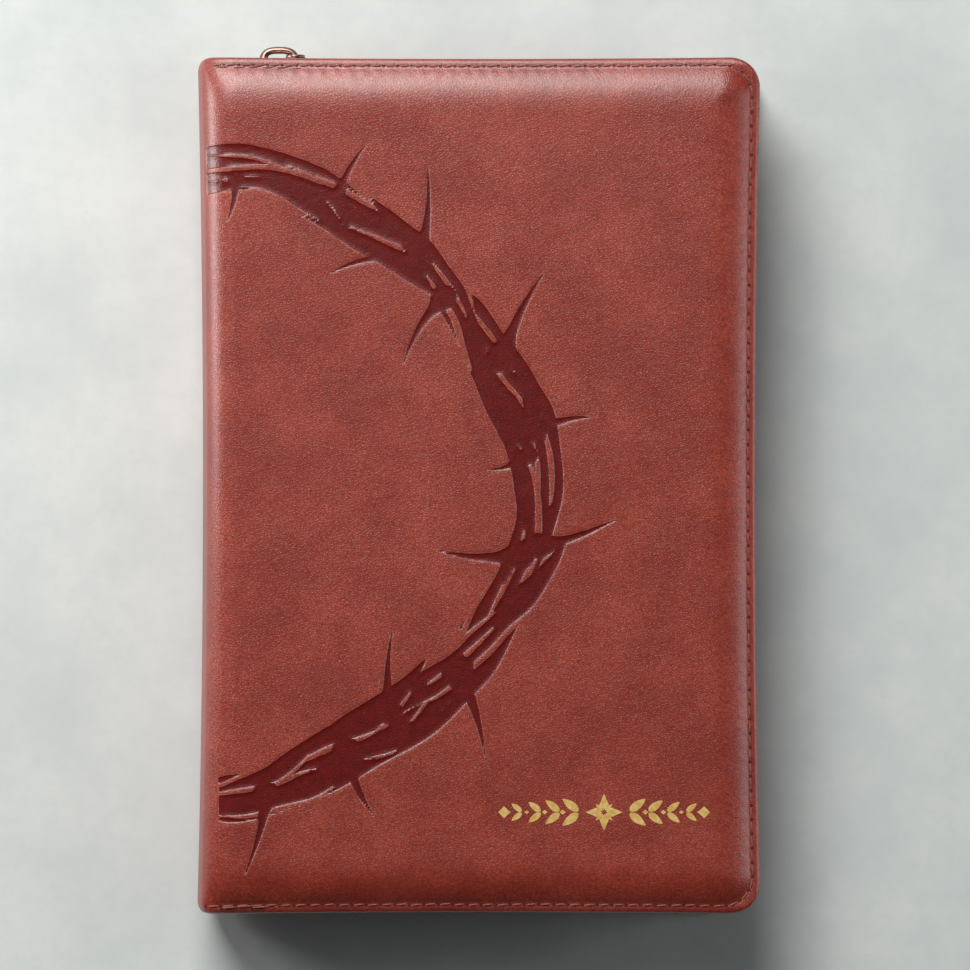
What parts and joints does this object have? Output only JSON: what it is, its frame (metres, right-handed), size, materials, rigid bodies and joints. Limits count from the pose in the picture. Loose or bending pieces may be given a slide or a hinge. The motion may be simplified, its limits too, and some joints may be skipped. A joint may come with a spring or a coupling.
{
  "type": "zip-round bible",
  "caption": "Padded leather bible case with a stitched rim and a zip round three sides, bound round a sewn text block; covers, leaves, slider and pull move.",
  "frame": {"origin": "middle of the back cover's outer face, which the closed book rests on", "axes": "+X from spine to fore-edge, +Y from tail to head, +Z from back cover to front cover"},
  "size_m": [0.1447, 0.2235, 0.036],
  "materials": {
    "leather": "pebbled red-brown leatherette, satin",
    "foam": "matte foam sheet",
    "card": "matte board",
    "endpaper": "matte laid paper",
    "thread": "waxed thread",
    "tape": "woven polyester tape",
    "coil": "semi-gloss nylon coil",
    "metal": "antiqued, polished",
    "paper": "thin matte paper with gilt edges",
    "gauze": "open weave",
    "headband": "woven roll",
    "ribbon": "satin ribbon",
    "gold_foil": "stamped gold foil, bright"
  },
  "bodies": {
    "back_cover": {"back_skin": "leather", "back_padding": "foam", "back_board": "card", "back_lining": "endpaper", "back_stitch_thread": "thread", "back_zip_tape": "tape", "back_zip_coil": "coil", "back_top_stop": "metal", "bottom_stop": "metal", "back_joint_skin": "leather"},
    "text_block": {"spine_skin": "leather", "front_joint_skin": "leather", "mull": "gauze", "spine_liner": "card", "headband_head": "headband", "headband_tail": "headband", "section_1": "paper", "section_2": "paper", "section_3": "paper", "section_4": "paper", "section_5": "paper", "section_6": "paper", "section_7": "paper", "section_8": "paper", "ribbon_marker_1": "ribbon", "ribbon_marker_2": "ribbon"},
    "front_cover": {"front_skin": "leather", "front_padding": "foam", "front_board": "card", "front_lining": "endpaper", "front_stitch_thread": "thread", "front_zip_tape": "tape", "front_zip_coil": "coil", "front_top_stop": "metal"},
    "front_flyleaf": {"front_flyleaf": "paper"},
    "front_leaves_1": {"front_leaves_1": "paper"},
    "front_leaves_2": {"front_leaves_2": "paper"},
    "front_leaves_3": {"front_leaves_3": "paper"},
    "back_flyleaf": {"back_flyleaf": "paper"},
    "zip_slider": {"slider": "metal"},
    "zip_pull": {"pull_tab": "metal"}
  },
  "joints": [
    {"name": "text_block_hinge", "type": "hinge", "parent": "back_cover", "child": "text_block", "pos_m": [-0.068, 0, 0.0015], "axis": [0, -1, 0], "range_deg": [0, 180], "deforming": ["back_joint_skin", "front_zip_tape", "front_zip_coil", "back_zip_tape", "back_zip_coil"]},
    {"name": "front_cover_hinge", "type": "hinge", "parent": "text_block", "child": "front_cover", "pos_m": [-0.068, 0, 0.0345], "axis": [0, -1, 0], "range_deg": [0, 180], "deforming": ["front_joint_skin", "front_zip_tape", "front_zip_coil"]},
    {"name": "front_flyleaf_hinge", "type": "hinge", "parent": "text_block", "child": "front_flyleaf", "pos_m": [-0.068, 0, 0.0345], "axis": [0, -1, 0], "range_deg": [0, 180]},
    {"name": "front_leaves_1_hinge", "type": "hinge", "parent": "text_block", "child": "front_leaves_1", "pos_m": [-0.068, 0, 0.0345], "axis": [0, -1, 0], "range_deg": [0, 180]},
    {"name": "front_leaves_2_hinge", "type": "hinge", "parent": "text_block", "child": "front_leaves_2", "pos_m": [-0.068, 0, 0.0345], "axis": [0, -1, 0], "range_deg": [0, 180]},
    {"name": "front_leaves_3_hinge", "type": "hinge", "parent": "text_block", "child": "front_leaves_3", "pos_m": [-0.068, 0, 0.0345], "axis": [0, -1, 0], "range_deg": [0, 180]},
    {"name": "back_flyleaf_hinge", "type": "hinge", "parent": "back_cover", "child": "back_flyleaf", "pos_m": [-0.068, 0, 0.0015], "axis": [0, -1, 0], "range_deg": [0, 180]},
    {"name": "zip_slider_slide", "type": "slide", "parent": "back_cover", "child": "zip_slider", "axis": [1, 0, 0], "range_m": [0, 0.098], "deforming": ["front_zip_tape", "back_zip_tape", "front_zip_coil", "back_zip_coil"]},
    {"name": "zip_pull_hinge", "type": "hinge", "parent": "zip_slider", "child": "zip_pull", "pos_m": [-0.0473, 0.11085, 0.018], "axis": [0, -1, 0], "range_deg": [-50, 130]}
  ],
  "couplings": [
    {"joint": "front_flyleaf_hinge", "follows": "front_cover_hinge", "ratio": 0.97},
    {"joint": "front_leaves_1_hinge", "follows": "front_cover_hinge", "ratio": 0.93},
    {"joint": "front_leaves_2_hinge", "follows": "front_cover_hinge", "ratio": 0.89},
    {"joint": "front_leaves_3_hinge", "follows": "front_cover_hinge", "ratio": 0.85},
    {"joint": "back_flyleaf_hinge", "follows": "text_block_hinge", "ratio": 0.06}
  ]
}
